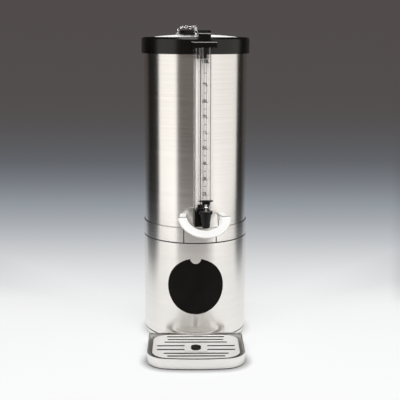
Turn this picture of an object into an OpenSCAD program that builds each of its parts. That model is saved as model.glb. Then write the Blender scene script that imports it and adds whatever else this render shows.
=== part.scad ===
// Insulated beverage dispenser: a double-walled container that turns on a hollow stand,
// with a sight gauge, a lever tap behind a white guard, a lift-off lid and a drip tray.
// The origin is on the stand's axis at table height. The front faces -Y.

/* [Container] */
// Height of the container's steel wall
container_h = 408; // [360:1:480]
// Thickness of the outer and inner steel sheets
sheet_t = 0.8; // [0.6:0.1:1.2]
// Thickness of the insulation between the sheets
foam_t = 7.7; // [5:0.1:14]
// Width of the ring between the container's wall and its neck
neck_ring_w = 26.2; // [16:0.2:35]
// Height of the vessel's floor above the deck
vessel_rise = 45; // [38:1:48]
// Height of the neck from the vessel's shoulder to its flange
neck_h = 78; // [50:1:100]
// Height of the shoulder's slope
shoulder_h = 10; // [6:1:20]
// Turn of the container on the stand
container_turn = 7.3; // [-30:0.1:30]

/* [Stand] */
// Sheet thickness of the stand
stand_wall = 1.2; // [0.8:0.1:2]
// Height of the stand's top edge above the table
stand_h = 219.7; // [200:0.1:260]
// Height of the plinth's top edge above the table
plinth_h = 11.4; // [8:0.2:16]
// Height of the open seam above the plinth
plinth_seam = 1; // [0.3:0.1:1.6]
// Height of the rubber feet
foot_h = 3; // [2:0.5:5]
// Diameter of the rubber feet
foot_d = 18; // [12:1:24]
// Diameter of the round window, measured on the flat sheet
window_d = 122.4; // [80:0.2:140]
// Height of the window's centre above the table
window_z = 126.7; // [105:0.1:140]
// Diameter of the half-round tab at the window's top
tab_d = 23; // [12:1:40]
// Thickness of the black panel behind the window
panel_t = 2; // [1:0.5:4]
// Height of the seam under the collar
deck_seam = 1.2; // [0.4:0.1:2]
// Height of the collar band
collar_h = 31.8; // [20:0.2:36]
// Width of the collar's front notch
notch_w = 69.6; // [50:0.2:90]
// Turn of the notch from the stand's front
notch_turn = 4.9; // [-10:0.1:10]

/* [Drip tray] */
// Width of the drip tray
tray_w = 197.6; // [180:0.2:220]
// Depth of the tray from its rear corners to its front
tray_depth = 156; // [140:1:190]
// Height of the tray's rim above the table
tray_h = 21.7; // [19:0.1:30]
// How far the tray's rear corners reach back beside the stand
tray_wrap = 10.2; // [4:0.2:16]
// Radius of the tray's front corners
tray_corner_r = 45; // [30:1:55]
// Radius of the tray's bowed front
tray_bow_r = 500; // [350:10:900]
// Sheet thickness of the tray and the grille
tray_t = 1.2; // [0.8:0.1:1.6]
// Width of the grille's slots
slot_w = 6.4; // [4:0.2:8]
// Width of the grille's finger hole
hole_w = 20.6; // [16:0.2:24]
// Length of the grille's finger hole
hole_l = 33; // [26:0.5:38]

/* [Tap] */
// Height of the tap's axis above the deck
tap_rise = 62; // [60:0.5:70]
// Distance of the spout from the container's wall
spout_out = 47; // [44:0.5:60]
// Height of the spout
spout_h = 34.2; // [32:0.1:42]
// Diameter of the spout's outlet bore
outlet_d = 9; // [7:0.2:10]
// Diameter of the shank through the wall
shank_d = 14; // [12:0.5:16]
// Height of the lever above its pin
lever_h = 16; // [14:0.2:24]
// Width of the lever's paddle
paddle_w = 28.4; // [20:0.2:34]
// Outer radius of the guard's half ring
guard_r = 54; // [48:0.5:58]
// Width of the guard's band
guard_band = 17.6; // [12:0.2:20]
// Slope of the guard's half ring below level
guard_slope = 39; // [25:0.5:45]
// Distance of the guard's bend from the container's axis beyond its wall
guard_out = 27; // [24:0.5:34]
// Thickness of the guard
guard_t = 3; // [2:0.2:4]

/* [Sight gauge] */
// Distance of the gauge tube from the container's wall
tube_out = 14; // [13.6:0.1:16]
// Outer diameter of the gauge tube
tube_d = 10.5; // [9:0.1:11]
// Distance of the gauge tube to the left of the tap
tube_left = 6; // [4:0.5:8]
// Wall of the gauge tube
tube_t = 1.5; // [1:0.1:2]
// Width of the clear shield
shield_w = 33; // [30:0.5:36]
// Wall of the clear shield
shield_t = 1.8; // [1.2:0.1:2.2]
// Reach of the valve block to the left of the tap
block_left = 20; // [18:0.5:24]
// Reach of the valve block to the right of the tap
block_right = 11.8; // [10:0.2:14]
// Height of the valve block without its corner horns
block_h = 30.3; // [28:0.1:34]
// Width of the gauge's top plate
top_plate_w = 48.8; // [42:0.2:56]
// Height of the gauge's top plate
top_plate_h = 12.5; // [10:0.5:16]
// Width of the gauge's cap
cap_w = 24.5; // [18:0.5:32]
// Height of the gauge's cap
cap_h = 16.8; // [12:0.2:22]

/* [Lid] */
// Outer diameter of the lid, which the container's diameter follows
lid_d = 229.4; // [206:0.2:260]
// Height of the lid's skirt with its top
lid_h = 33.7; // [30:0.1:44]
// Wall of the lid's skirt
lid_wall = 3; // [2:0.1:3.6]
// Radius of the lid's top edge
lid_edge_r = 6; // [3:0.5:8]
// Width of the lid's black top ring
lid_ring_w = 16.5; // [14:0.5:24]
// Rise of the domed steel top
dome_rise = 6.6; // [3:0.2:10]
// Diameter of the fill plug's cap
plug_d = 66; // [58:0.5:74]
// Height of the fill plug's cap
plug_h = 8.2; // [6:0.2:12]
// Diameter of the fill opening
fill_d = 48.4; // [40:0.2:50]
// Wire diameter of the chain
wire_d = 1.3; // [1:0.1:1.4]
// Inner width of a chain link
link_w = 3.8; // [3.6:0.1:4.2]

/* [Clearances] */
// Gap between the container and the lid's skirt
lid_fit = 1.7; // [1:0.1:3]
// Gap between the container and the collar
collar_gap = 0.4; // [0.3:0.05:0.8]
// Gap under the container on the deck
seat_gap = 0.2; // [0.1:0.05:0.4]
// Gap between pieces that are fixed in each other
fixed_gap = 0.15; // [0.1:0.05:0.3]
// Radial gap of a running pin
pin_gap = 0.05; // [0.02:0.01:0.1]
// Gap between a moving piece and its neighbour
move_gap = 0.5; // [0.3:0.05:0.8]
// Gap between the tray and the stand
tray_gap = 1; // [0.5:0.1:2]

/* [Hidden] */
$fn = 96;
// Overshoot of a cut beyond the face that it opens
cut = 1;

// Radii and heights of the stand
lid_r = lid_d / 2;
container_r = lid_r - lid_wall - lid_fit;
collar_ri = container_r + collar_gap;
stand_r = collar_ri + stand_wall;
stand_z = plinth_h + plinth_seam;
deck_z = stand_h + deck_seam;
collar_top = deck_z + collar_h;
spigot_r = collar_ri - fixed_gap;
spigot_t = 3;
spigot_h = 12;
plinth_step = 0.5;
base_plate_t = 1.5;
foot_in = 17;
foot_circle_r = stand_r - foot_in;
// Feet in a ring, with one in the middle under the base plate
foot_places = concat([[0, 0]], [for (a = [45:90:315]) foot_circle_r * [cos(a), sin(a)]]);
foot_stud_d = 6;
panel_lap = 6;
window_steps = 72;
deck_t = 3;
deck_inset = 1.4;
deck_lap = 52;
deck_hole_r = stand_r - deck_lap;
notch_gap = 0.9;

// Heights and radii of the container
wall_ri = container_r - sheet_t;
base_t = 6;
base_z = deck_z + seat_gap;
shell_top = deck_z + container_h;
vessel_r = container_r - 2 * sheet_t - foam_t;
neck_r = container_r - neck_ring_w;
vessel_z = deck_z + vessel_rise;
weld_gap = 0.1;
shoulder_z = shell_top - neck_h;
neck_ring_h = 5;
neck_ring_chamfer = 1.2;
neck_top = shell_top + neck_ring_h;

// Places of the tap and the sight gauge, along the front of the container
tap_z = deck_z + tap_rise;
plate_t = 1;
plate_top = tap_z + shank_d;
plate_foot_in = 1;
plate_foot_w = notch_w - plate_foot_in;
plate_taper = 12;
plate_top_w = plate_foot_w - plate_taper;
plate_r = container_r + fixed_gap + plate_t;
tube_y = -container_r - tube_out;
front_reach = 13;
front_y = tube_y - front_reach;
shield_back = 1;
shield_y = front_y + shield_back;
shield_x = -3;
shield_edge_r = 6;
scale_t = 0.8;
block_drop = 21.2;
block_z = tap_z - block_drop;
block_top = block_z + block_h;
horn_h = 5.1;
horn_w = 4;
shield_z = block_top + horn_h + fixed_gap;
spout_y = -container_r - spout_out;
spout_drop = 18.6;
spout_z = tap_z - spout_drop;
spout_top = spout_z + spout_h;
ring_w = 2;
ring_h = 2.2;
shank_reach = tube_out - plate_t - tube_d / 2 - ring_w - 4 * fixed_gap;
shank_bore_d = 9;
seal_t = 2.4;
nut_t = 6;
nut_d = 25;
shank_tail = 2;
tap_neck_t = 4;
washer_d = 21;
washer_gap = 0.4;
washer_y = washer_gap - sqrt(pow(vessel_r, 2) - pow(washer_d / 2, 2));
nut_y = washer_y + seal_t;
mouth_lap = 1.5;
mouth_d = shank_d + 2 * mouth_lap;
mouth_h = 2.6;
tube_seat = 1.5;
tube_z = tap_z + shank_bore_d / 2 + tube_seat;
tube_nut_h = 7;
tube_nut_d = 19;
tube_collar_h = 6.6;
tube_collar_d = 13.4;

// Heights of the lid's stack and of the gauge's top fitting beside it
gasket_gap = 0.3;
gasket_h = 3;
gasket_in = 5;
gasket_w = 6;
liner_depth = 22;
liner_gap = 1.5;
flange_t = 3;
rim_top_t = 3.4;
liner_z = neck_top + gasket_gap + gasket_h;
rim_seat = liner_z + flange_t;
lid_top_z = rim_seat + rim_top_t;
lid_z = lid_top_z - lid_h;
top_plate_drop = 20.2;
top_plate_z = lid_top_z - top_plate_drop;
cap_z = top_plate_z + top_plate_h;
top_plate_chamfer = 1.4;
cap_back = 3;
cap_chamfer = 1.2;
lid_clear_r = lid_r + move_gap;
bracket_w = 18;
bracket_drop = 8.5;
bracket_gap = 2;
bracket_z = lid_z - bracket_drop;
strap_t = 2;
strap_gap = 0.6;
dome_r = lid_r - lid_ring_w;
dome_sink = 1.3;
dome_top = lid_top_z + dome_rise - dome_sink;
dome_edge_z = dome_top - dome_rise;
dome_ball_r = (dome_r * dome_r + dome_rise * dome_rise) / (2 * dome_rise);
fill_r = fill_d / 2;
fill_wall = 1.7;
plug_gap = 0.3;
plug_z = dome_top + plug_gap;
plug_top = plug_z + plug_h;
plug_edge_r = 2.5;
plug_tail = 17;

// Tap stem and lever
bonnet_h = 3.5;
bonnet_plug = 4;
lip_t = 1.9;
flange_d = 26.8;
flange_h = 5.6;
lip_r = flange_d / 2 - lip_t;
spout_neck_r = 11.2;
spout_wall = 2.9;
bonnet_d = 2 * (lip_r - fixed_gap);
bonnet_top = spout_top - fixed_gap;
bonnet_z = bonnet_top - bonnet_h;
chamber_r = 7.6;
seat_lift = 0.2;
seat_gap_r = 0.3;
seat_rim = 3;
seat_side = 0.4;
seat_neck = 10;
seat_bore_z = 2.2;
seat_neck_t = 2;
stem_foot = 2.3;
seat_h = 9;
seat_rise = 5;
stem_r = 3;
stem_flat = 1.8;
stem_gap = 0.3;
pin_r = 1.5;
pin_rise = 6.4;
pin_z = bonnet_top + pin_rise;
pin_end = 0.5;
eye_r = 4;
eye_w = 4.6;
eye_side_gap = 0.25;
cheek_t = 2.6;
cheek_r = 4.2;
paddle_t = 2.4;
paddle_l = 9;
lever_t = 4.6;
lever_top_w = 18;
fork_hole = 3.6;

// White guard in front of the tap
guard_y = -container_r - guard_out;
guard_z = tap_z;
guard_ri = guard_r - guard_band;
arm_w = 13;
arm_lean = 6.6;
arm_x = (guard_r + guard_ri) / 2;
arm_foot_x = arm_x - arm_lean;
crease = 0.3;
pad_h = 14;
guard_pad_w = 11;
pad_z = guard_z - 2 * crease - pad_h;
screw_z = pad_z + (pad_h - guard_t) / 2;
screw_d = 4;
screw_head_d = 7.5;
screw_head_h = 2.4;

// Drip tray and grille
tray_pad_h = 2;
tray_pad_d = 14;
tray_pad_in = 34;
tray_pad_back = 50;
tray_pad_front = 46;
tray_rear_y = -(stand_r - tray_wrap);
tray_front_y = tray_rear_y - tray_depth;
tray_rear_r = 8;
tray_scoop_r = stand_r + tray_gap;
ledge_w = 13;
ledge_drop = 7.7;
ledge_z = tray_h - ledge_drop;
grille_in = 10.3;
grille_back = 11;
grille_scoop = 2.9;
grille_corner_r = 30;
grille_drop = 1.5;
grille_top = tray_h - grille_drop;
grille_seat = 0.2;
pattern_back = 85.6;
pattern_y = tray_rear_y - pattern_back;
pad_w = 44.6;
pad_l = 43.6;
pad_rise = 0.4;
grille_half = tray_w / 2 - grille_in;
// Rows of full slots, as distance behind the pattern's middle and from the grille's sides
full_rows = [[63.5, 27.5], [47, 30], [31.6, 23], [-31.6, 22.5], [-46.3, 29.9]];
// Rows that the finger pad splits, with the slots' reach from the middle to the grille's sides
split_rows = [10.8, -10.8];
side_slot_in = 22.8;
side_slot_end = 8.3;
side_slot_out = grille_half - side_slot_end;

// Chain joints, chosen by hand in the lid's frame as [x, y, height above the plug's top]
side_run = [[-38.6, -1.4, -6.3], [-37.3, -2, 0.2], [-32.7, -2.1, 4.9], [-24.9, -1.7, 6.8],
    [-16.3, -1.4, 6.2], [-8.1, -3.1, 4.9], [0.3, -3.7, 5.2]];
front_run = [[-2.3, -2.2, 5.1], [-5.4, -9.4, 6.1], [-9, -17.2, 6.4], [-8.8, -25.8, 6.8],
    [-6.6, -33.1, 4.9], [-4.5, -37.9, 0.3], [-4.4, -39.1, -6.2]];
// Roll of each link about its own length, flat where it is hooked in
side_roll = [-5, 45, 150, 230, 305, 400];
front_roll = [0, 60, 130, 220, 320, 375];
link_gap = 0.3;
loop_r = 2.4;
anchor_disc_d = 9;
anchor_disc_h = 1.2;
eye_stem_r = 2;
eye_disc_r = 3.6;
eye_disc_h = 1;
eye_lift = 0.3;
eye_ring_r = 4.4;
eye_ring_z = 6.2;
eye_turn = 45;

// Points on an arc about c, from angle a0 to a1 in n steps
function arc(c, r, a0, a1, n) =
    [for (i = [0:n]) let (a = a0 + (a1 - a0) * i / n) [c[0] + r * cos(a), c[1] + r * sin(a)]];

function reversed(list) = [for (i = [len(list) - 1:-1:0]) list[i]];

// Tube with its foot at z = 0
module ring(r_out, r_in, h) {
    difference() {
        cylinder(r = r_out, h = h);
        translate([0, 0, -cut]) cylinder(r = r_in, h = h + 2 * cut);
    }
}

// Rod along -Y from y0 to y1
module rod_y(d, y0, y1) {
    translate([0, y0, 0]) rotate([90, 0, 0]) cylinder(d = d, h = y0 - y1);
}

// Rod along X, centred
module rod_x(r, w) {
    rotate([0, 90, 0]) cylinder(r = r, h = w, center = true);
}

// Block centred on x = 0, between two depths and two heights
module block(w, y0, y1, z0, z1) {
    translate([-w / 2, y1, z0]) cube([w, y0 - y1, z1 - z0]);
}

module at_container() {
    rotate([0, 0, container_turn]) children();
}

// Outline of the window in the stand, a circle on the flat sheet that was then rolled
module window_outline(r) {
    polygon([for (i = [0:window_steps - 1])
        let (a = 360 * i / window_steps)
        [stand_r * sin(r * cos(a) / stand_r * 180 / PI), r * sin(a)]]);
}

// Pushes an outline drawn in X and Z from the axis out through the front
module front_extrude(z, depth) {
    translate([0, 0, z]) rotate([90, 0, 0]) linear_extrude(height = depth) children();
}

module rubber_feet() {
    color([0.08, 0.08, 0.08])
    for (place = foot_places) {
        translate(place) {
            cylinder(d = foot_d, h = foot_h);
            cylinder(d = foot_stud_d - 2 * fixed_gap, h = foot_h + base_plate_t);
        }
    }
}

module base_plate() {
    color([0.62, 0.62, 0.62])
    difference() {
        translate([0, 0, foot_h]) cylinder(r = spigot_r - spigot_t - fixed_gap, h = base_plate_t);
        for (place = foot_places) {
            translate(place) cylinder(d = foot_stud_d, h = foot_h + base_plate_t + cut);
        }
    }
}

module base_ring() {
    color([0.75, 0.74, 0.72])
    difference() {
        union() {
            translate([0, 0, foot_h]) cylinder(r = stand_r - plinth_step, h = plinth_h - foot_h);
            translate([0, 0, foot_h]) cylinder(r = spigot_r, h = stand_z + spigot_h - foot_h);
        }
        cylinder(r = spigot_r - spigot_t, h = stand_z + spigot_h + cut);
    }
}

module stand_shell() {
    color([0.78, 0.77, 0.75])
    difference() {
        translate([0, 0, stand_z]) ring(stand_r, collar_ri, stand_h - stand_z);
        front_extrude(window_z, stand_r + cut) difference() {
            window_outline(window_d / 2);
            translate([0, window_d / 2]) circle(d = tab_d);
        }
    }
}

module window_panel() {
    color([0.05, 0.05, 0.05])
    intersection() {
        ring(spigot_r, spigot_r - panel_t, stand_h);
        front_extrude(window_z, stand_r + cut) window_outline(window_d / 2 + panel_lap);
    }
}

module support_deck() {
    color([0.62, 0.62, 0.62])
    difference() {
        union() {
            translate([0, 0, stand_h]) cylinder(r = stand_r - deck_inset, h = deck_seam);
            translate([0, 0, stand_h - spigot_h]) cylinder(r = spigot_r, h = spigot_h + deck_seam);
        }
        translate([0, 0, stand_h - spigot_h - cut])
            cylinder(r = spigot_r - spigot_t, h = spigot_h + cut + deck_seam - deck_t);
        cylinder(r = deck_hole_r, h = deck_z + cut);
    }
}

// Box across the front of the collar at its notch
module notch_box(w, z0, z1) {
    rotate([0, 0, notch_turn]) block(w, 0, -stand_r - cut, z0, z1);
}

module collar_ring() {
    color([0.78, 0.77, 0.75])
    difference() {
        translate([0, 0, deck_z]) ring(stand_r, collar_ri, collar_h);
        notch_box(notch_w, deck_z - cut, collar_top + cut);
    }
}

module collar_front_plate() {
    color([0.74, 0.73, 0.71])
    intersection() {
        translate([0, 0, deck_z]) ring(stand_r - fixed_gap, collar_ri, collar_h);
        notch_box(notch_w - 2 * notch_gap, deck_z, collar_top - notch_gap);
    }
}

// Tray outline, drawn in by an inset, with its rear edge moved forward and scooped round the stand
function tray_points(inset, back, scoop, rear_r) =
    let (w = tray_w / 2 - inset,
        yr = tray_rear_y - back,
        rc = tray_corner_r - inset,
        rf = tray_bow_r - inset,
        bow = [0, tray_front_y + tray_bow_r],
        corner = [w - rc, bow[1] - sqrt(pow(rf - rc, 2) - pow(w - rc, 2))],
        turn = atan2(corner[1] - bow[1], corner[0] - bow[0]),
        scoop_r = tray_scoop_r + scoop,
        side = atan2(yr, sqrt(pow(scoop_r, 2) - pow(yr, 2))))
    concat(
        arc([w - rear_r, yr - rear_r], rear_r, 0, 90, 6),
        arc([0, 0], scoop_r, side, -180 - side, 16),
        arc([rear_r - w, yr - rear_r], rear_r, 90, 180, 6),
        arc([-corner[0], corner[1]], rc, 180, 180 - turn, 12),
        arc(bow, rf, 180 - turn, 360 + turn, 14),
        arc(corner, rc, 360 + turn, 360, 12));

module tray_outline(inset) {
    polygon(tray_points(inset, inset, inset, max(1, tray_rear_r - inset)));
}

module drip_tray() {
    color([0.76, 0.75, 0.73])
    difference() {
        translate([0, 0, tray_pad_h]) linear_extrude(height = tray_h - tray_pad_h) tray_outline(0);
        translate([0, 0, ledge_z]) linear_extrude(height = tray_h) tray_outline(tray_t);
        translate([0, 0, tray_pad_h + tray_t]) linear_extrude(height = tray_h)
            tray_outline(ledge_w);
        linear_extrude(height = ledge_z - tray_t) difference() {
            tray_outline(tray_t);
            tray_outline(ledge_w - tray_t);
        }
    }
}

module tray_pads() {
    color([0.08, 0.08, 0.08])
    for (x = [-1, 1], end = [0, 1]) {
        translate([x * (tray_w / 2 - tray_pad_in),
            tray_rear_y - tray_pad_back - end * (tray_depth - tray_pad_back - tray_pad_front), 0])
            cylinder(d = tray_pad_d, h = tray_pad_h);
    }
}

module grille_outline(inset) {
    polygon(tray_points(grille_in + inset, grille_back + inset, grille_scoop + inset,
        grille_corner_r - inset));
}

// Slot with round ends, its middle at x and y
module slot(x, y, half_l) {
    translate([x, y, 0]) {
        translate([-half_l + slot_w / 2, -slot_w / 2, 0]) cube([2 * half_l - slot_w, slot_w, tray_h + cut]);
        for (side = [-1, 1]) {
            translate([side * (half_l - slot_w / 2), 0, 0]) cylinder(d = slot_w, h = tray_h + cut);
        }
    }
}

module finger_hole() {
    translate([0, pattern_y, 0]) {
        for (side = [-1, 1]) {
            translate([0, side * (hole_l - hole_w) / 2, 0]) cylinder(d = hole_w, h = tray_h + cut);
        }
        translate([-hole_w / 2, -(hole_l - hole_w) / 2, 0]) cube([hole_w, hole_l - hole_w, tray_h + cut]);
    }
}

module drip_grille() {
    skirt_z = ledge_z + grille_seat;
    color([0.85, 0.84, 0.82])
    difference() {
        union() {
            translate([0, 0, skirt_z]) linear_extrude(height = grille_top - skirt_z) grille_outline(0);
            translate([-pad_w / 2, pattern_y - pad_l / 2, skirt_z])
                cube([pad_w, pad_l, grille_top + pad_rise - skirt_z]);
        }
        linear_extrude(height = grille_top - tray_t) grille_outline(tray_t);
        for (row = full_rows) {
            slot(0, pattern_y + row[0], grille_half - row[1]);
        }
        for (y = split_rows, side = [-1, 1]) {
            slot(side * (side_slot_in + side_slot_out) / 2, pattern_y + y,
                (side_slot_out - side_slot_in) / 2);
        }
        finger_hole();
    }
}

// Hole for the tap's shank, out through the front of the container
module shank_hole(gap) {
    translate([0, 0, tap_z]) rod_y(shank_d + 2 * gap, 0, -container_r - shank_d);
}

module outer_shell() {
    color([0.78, 0.77, 0.75])
    at_container() difference() {
        translate([0, 0, base_z]) ring(container_r, wall_ri, shell_top - base_z);
        shank_hole(fixed_gap);
    }
}

// Half section of the vessel's shoulder and neck, grown outwards, from the foot of the slope up
function neck_section(grow) =
    [[vessel_r + grow, shoulder_z - shoulder_h], [neck_r + grow, shoulder_z], [neck_r + grow, shell_top]];

module inner_vessel() {
    color([0.72, 0.72, 0.72])
    at_container() difference() {
        translate([0, 0, vessel_z])
            ring(vessel_r + sheet_t, vessel_r, shoulder_z - shoulder_h - weld_gap - vessel_z);
        shank_hole(fixed_gap);
    }
}

module vessel_floor() {
    color([0.72, 0.72, 0.72])
    at_container() translate([0, 0, vessel_z - weld_gap - sheet_t])
        cylinder(r = vessel_r + sheet_t, h = sheet_t);
}

module vessel_neck() {
    color([0.72, 0.72, 0.72])
    at_container() rotate_extrude() {
        polygon(concat(neck_section(sheet_t), reversed(neck_section(0))));
        translate([neck_r, shell_top - sheet_t]) square([wall_ri - fixed_gap - neck_r, sheet_t]);
    }
}

module insulation_foam() {
    foam_r = wall_ri - fixed_gap;
    foam_z = base_z + base_t + fixed_gap;
    foam_top = shell_top - sheet_t - fixed_gap;
    inner = neck_section(sheet_t + fixed_gap);
    inner_z = vessel_z - weld_gap - sheet_t - fixed_gap;
    color([0.93, 0.88, 0.66])
    at_container() difference() {
        rotate_extrude() difference() {
            translate([0, foam_z]) square([foam_r, foam_top - foam_z]);
            polygon(concat([[0, inner_z], [inner[0][0], inner_z]], inner, [[0, shell_top]]));
        }
        shank_hole(2 * fixed_gap);
    }
}

module container_base() {
    color([0.12, 0.12, 0.12])
    at_container() translate([0, 0, base_z]) cylinder(r = wall_ri - fixed_gap, h = base_t);
}

module neck_ring() {
    c = neck_ring_chamfer;
    color([0.06, 0.06, 0.06])
    at_container() translate([0, 0, shell_top]) rotate_extrude() polygon([[neck_r, 0], [container_r, 0],
        [container_r, neck_ring_h - c], [container_r - c, neck_ring_h],
        [neck_r + c, neck_ring_h], [neck_r, neck_ring_h - c]]);
}

module tap_plate() {
    foot_z = collar_top + move_gap;
    color([0.74, 0.73, 0.71])
    at_container() difference() {
        intersection() {
            ring(plate_r, container_r + fixed_gap, shell_top);
            front_extrude(0, plate_r + cut) polygon([[-plate_foot_w / 2, foot_z], [plate_foot_w / 2, foot_z],
                [plate_top_w / 2, plate_top], [-plate_top_w / 2, plate_top]]);
        }
        shank_hole(fixed_gap);
    }
}

module tap_shank() {
    color([0.7, 0.69, 0.67])
    at_container() translate([0, 0, tap_z]) difference() {
        rod_y(shank_d, nut_y + nut_t + shank_tail, -plate_r - shank_reach);
        rod_y(shank_bore_d, 0, -plate_r - shank_reach - cut);
    }
}

module shank_nut() {
    color([0.7, 0.69, 0.67])
    at_container() translate([0, 0, tap_z]) difference() {
        translate([0, nut_y + nut_t, 0]) rotate([90, 30, 0]) cylinder(d = nut_d, h = nut_t, $fn = 6);
        rod_y(shank_d + 2 * pin_gap, 0, -vessel_r);
    }
}

// The inner washer lies on the vessel's wall and the outer one in the block's mouth
module shank_seals() {
    color([0.85, 0.85, 0.83])
    at_container() translate([0, 0, tap_z]) difference() {
        union() {
            rod_y(washer_d, washer_y + seal_t, washer_y);
            rod_y(mouth_d - 2 * fixed_gap, -plate_r - 2 * fixed_gap, -plate_r - mouth_h);
        }
        rod_y(shank_d + 2 * pin_gap, 0, -plate_r - mouth_h - cut);
    }
}

module gauge_block() {
    corner_h = block_h + horn_h;
    color([0.05, 0.05, 0.05])
    at_container() difference() {
        front_extrude(block_z, -front_y) polygon([[-block_left, 0], [block_right, 0],
            [block_right, corner_h], [block_right - horn_w, block_h], [horn_w - block_left, block_h],
            [-block_left, corner_h]]);
        cylinder(r = plate_r + fixed_gap, h = shell_top);
        translate([0, 0, tap_z]) {
            rod_y(shank_d + 2 * fixed_gap, 0, -plate_r - shank_reach - fixed_gap);
            rod_y(mouth_d, 0, -plate_r - mouth_h - fixed_gap);
            rod_y(shank_bore_d, 0, front_y - cut);
        }
        translate([-tube_left, tube_y, 0]) {
            translate([0, 0, tap_z]) cylinder(d = tube_d - 2 * tube_t, h = block_h);
            translate([0, 0, tube_z - fixed_gap]) cylinder(d = tube_d + 2 * fixed_gap, h = block_h);
            translate([0, 0, block_top - ring_h - fixed_gap])
                cylinder(d = tube_d + 2 * ring_w + 4 * fixed_gap, h = block_h);
        }
    }
}

module tube_nut() {
    top = tube_nut_h + tube_collar_h;
    color([0.07, 0.07, 0.07])
    at_container() translate([-tube_left, tube_y, block_top]) difference() {
        union() {
            cylinder(d = tube_nut_d, h = tube_nut_h, $fn = 12);
            cylinder(d = tube_collar_d, h = top);
        }
        translate([0, 0, -cut]) cylinder(d = tube_d + 2 * fixed_gap, h = top + 2 * cut);
    }
}

module gauge_tube() {
    color([0.85, 0.9, 0.9, 0.4])
    at_container() translate([-tube_left, tube_y, tube_z])
        ring(tube_d / 2, tube_d / 2 - tube_t, top_plate_z + top_plate_h / 2 - tube_z);
}

module tube_seals() {
    color([0.85, 0.85, 0.83])
    at_container() for (z = [block_top - ring_h, top_plate_z]) {
        translate([-tube_left, tube_y, z])
            ring(tube_d / 2 + fixed_gap + ring_w, tube_d / 2 + fixed_gap, ring_h);
    }
}

// Plan of the shield, open to the container, with its front corners rounded
module shield_plan(w, front, r) {
    for (x = [r - w / 2, w / 2 - r]) {
        translate([x, front + r]) circle(r = r);
    }
    translate([r - w / 2, front]) square([w - 2 * r, -front]);
    translate([-w / 2, front + r]) square([w, -front - r]);
}

module gauge_shield() {
    color([0.9, 0.93, 0.93, 0.3])
    at_container() difference() {
        translate([shield_x, 0, shield_z]) linear_extrude(height = top_plate_z - fixed_gap - shield_z)
            difference() {
                shield_plan(shield_w, shield_y, shield_edge_r);
                shield_plan(shield_w - 2 * shield_t, shield_y + shield_t, shield_edge_r - shield_t);
            }
        cylinder(r = plate_r + fixed_gap, h = lid_z);
        translate([0, 0, lid_z - move_gap]) cylinder(r = lid_clear_r, h = lid_h);
    }
}

// Pale strip behind the tube, held between the shield's sides
module gauge_scale() {
    back_y = -plate_r - 3 * fixed_gap;
    color([0.93, 0.92, 0.9])
    at_container() translate([shield_x, 0, 0]) block(shield_w - 2 * (shield_t + fixed_gap), back_y,
        back_y - scale_t, shield_z, bracket_z - fixed_gap);
}

module gauge_bracket() {
    strap_y = -lid_clear_r - strap_gap;
    color([0.05, 0.05, 0.05])
    at_container() difference() {
        translate([shield_x, 0, 0]) {
            block(bracket_w, strap_y, strap_y - strap_t, bracket_z, top_plate_z);
            block(bracket_w, 0, strap_y, bracket_z, lid_z - bracket_gap);
        }
        cylinder(r = container_r + fixed_gap, h = shell_top);
    }
}

// Bar across X with its top front edge cut off, kept clear of the lid
module fitting_bar(w, front, z0, h, chamfer) {
    difference() {
        translate([-w / 2, 0, z0]) rotate([90, 0, 90]) linear_extrude(height = w)
            polygon([[0, 0], [front, 0], [front, h - chamfer], [front + chamfer, h], [0, h]]);
        cylinder(r = lid_clear_r, h = z0 + h + cut);
    }
}

module gauge_plate() {
    color([0.05, 0.05, 0.05])
    at_container() difference() {
        fitting_bar(top_plate_w, front_y, top_plate_z, top_plate_h, top_plate_chamfer);
        translate([-tube_left, tube_y, top_plate_z - cut])
            cylinder(d = tube_d + 2 * fixed_gap, h = cut + top_plate_h / 2 + fixed_gap);
        translate([-tube_left, tube_y, top_plate_z - cut])
            cylinder(d = tube_d + 2 * ring_w + 4 * fixed_gap, h = cut + ring_h + fixed_gap);
    }
}

module gauge_cap() {
    color([0.05, 0.05, 0.05])
    at_container() fitting_bar(cap_w, front_y + cap_back, cap_z, cap_h, cap_chamfer);
}

// Outside and inside of the spout, turned about its own axis from its outlet up
module spout_outside() {
    flange_z = spout_h - flange_h;
    rotate_extrude() polygon([[0, 0], [outlet_d / 2 + spout_wall, 0], [spout_neck_r, flange_z],
        [flange_d / 2, flange_z], [flange_d / 2, spout_h], [0, spout_h]]);
}

module spout_inside() {
    lip_z = bonnet_z - spout_z;
    rotate_extrude() polygon([[0, -cut], [outlet_d / 2, -cut], [outlet_d / 2, seat_h],
        [chamber_r, seat_h + seat_rise], [chamber_r, lip_z], [lip_r, lip_z], [lip_r, spout_h + cut],
        [0, spout_h + cut]]);
}

module tap_body() {
    color([0.05, 0.05, 0.05])
    at_container() difference() {
        union() {
            translate([0, spout_y, spout_z]) spout_outside();
            translate([0, 0, tap_z]) rod_y(shank_bore_d + 2 * tap_neck_t, front_y, spout_y);
        }
        translate([0, spout_y, spout_z]) spout_inside();
        translate([0, 0, tap_z]) rod_y(shank_bore_d, front_y + cut, spout_y);
    }
}

module tap_bonnet() {
    color([0.06, 0.06, 0.06])
    at_container() translate([0, spout_y, bonnet_z]) difference() {
        union() {
            cylinder(d = bonnet_d, h = bonnet_h);
            translate([0, 0, -bonnet_plug]) cylinder(r = chamber_r - fixed_gap, h = bonnet_plug + cut);
        }
        translate([0, 0, -bonnet_plug - cut])
            cylinder(r = stem_r + pin_gap, h = bonnet_plug + bonnet_h + 2 * cut);
    }
}

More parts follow.
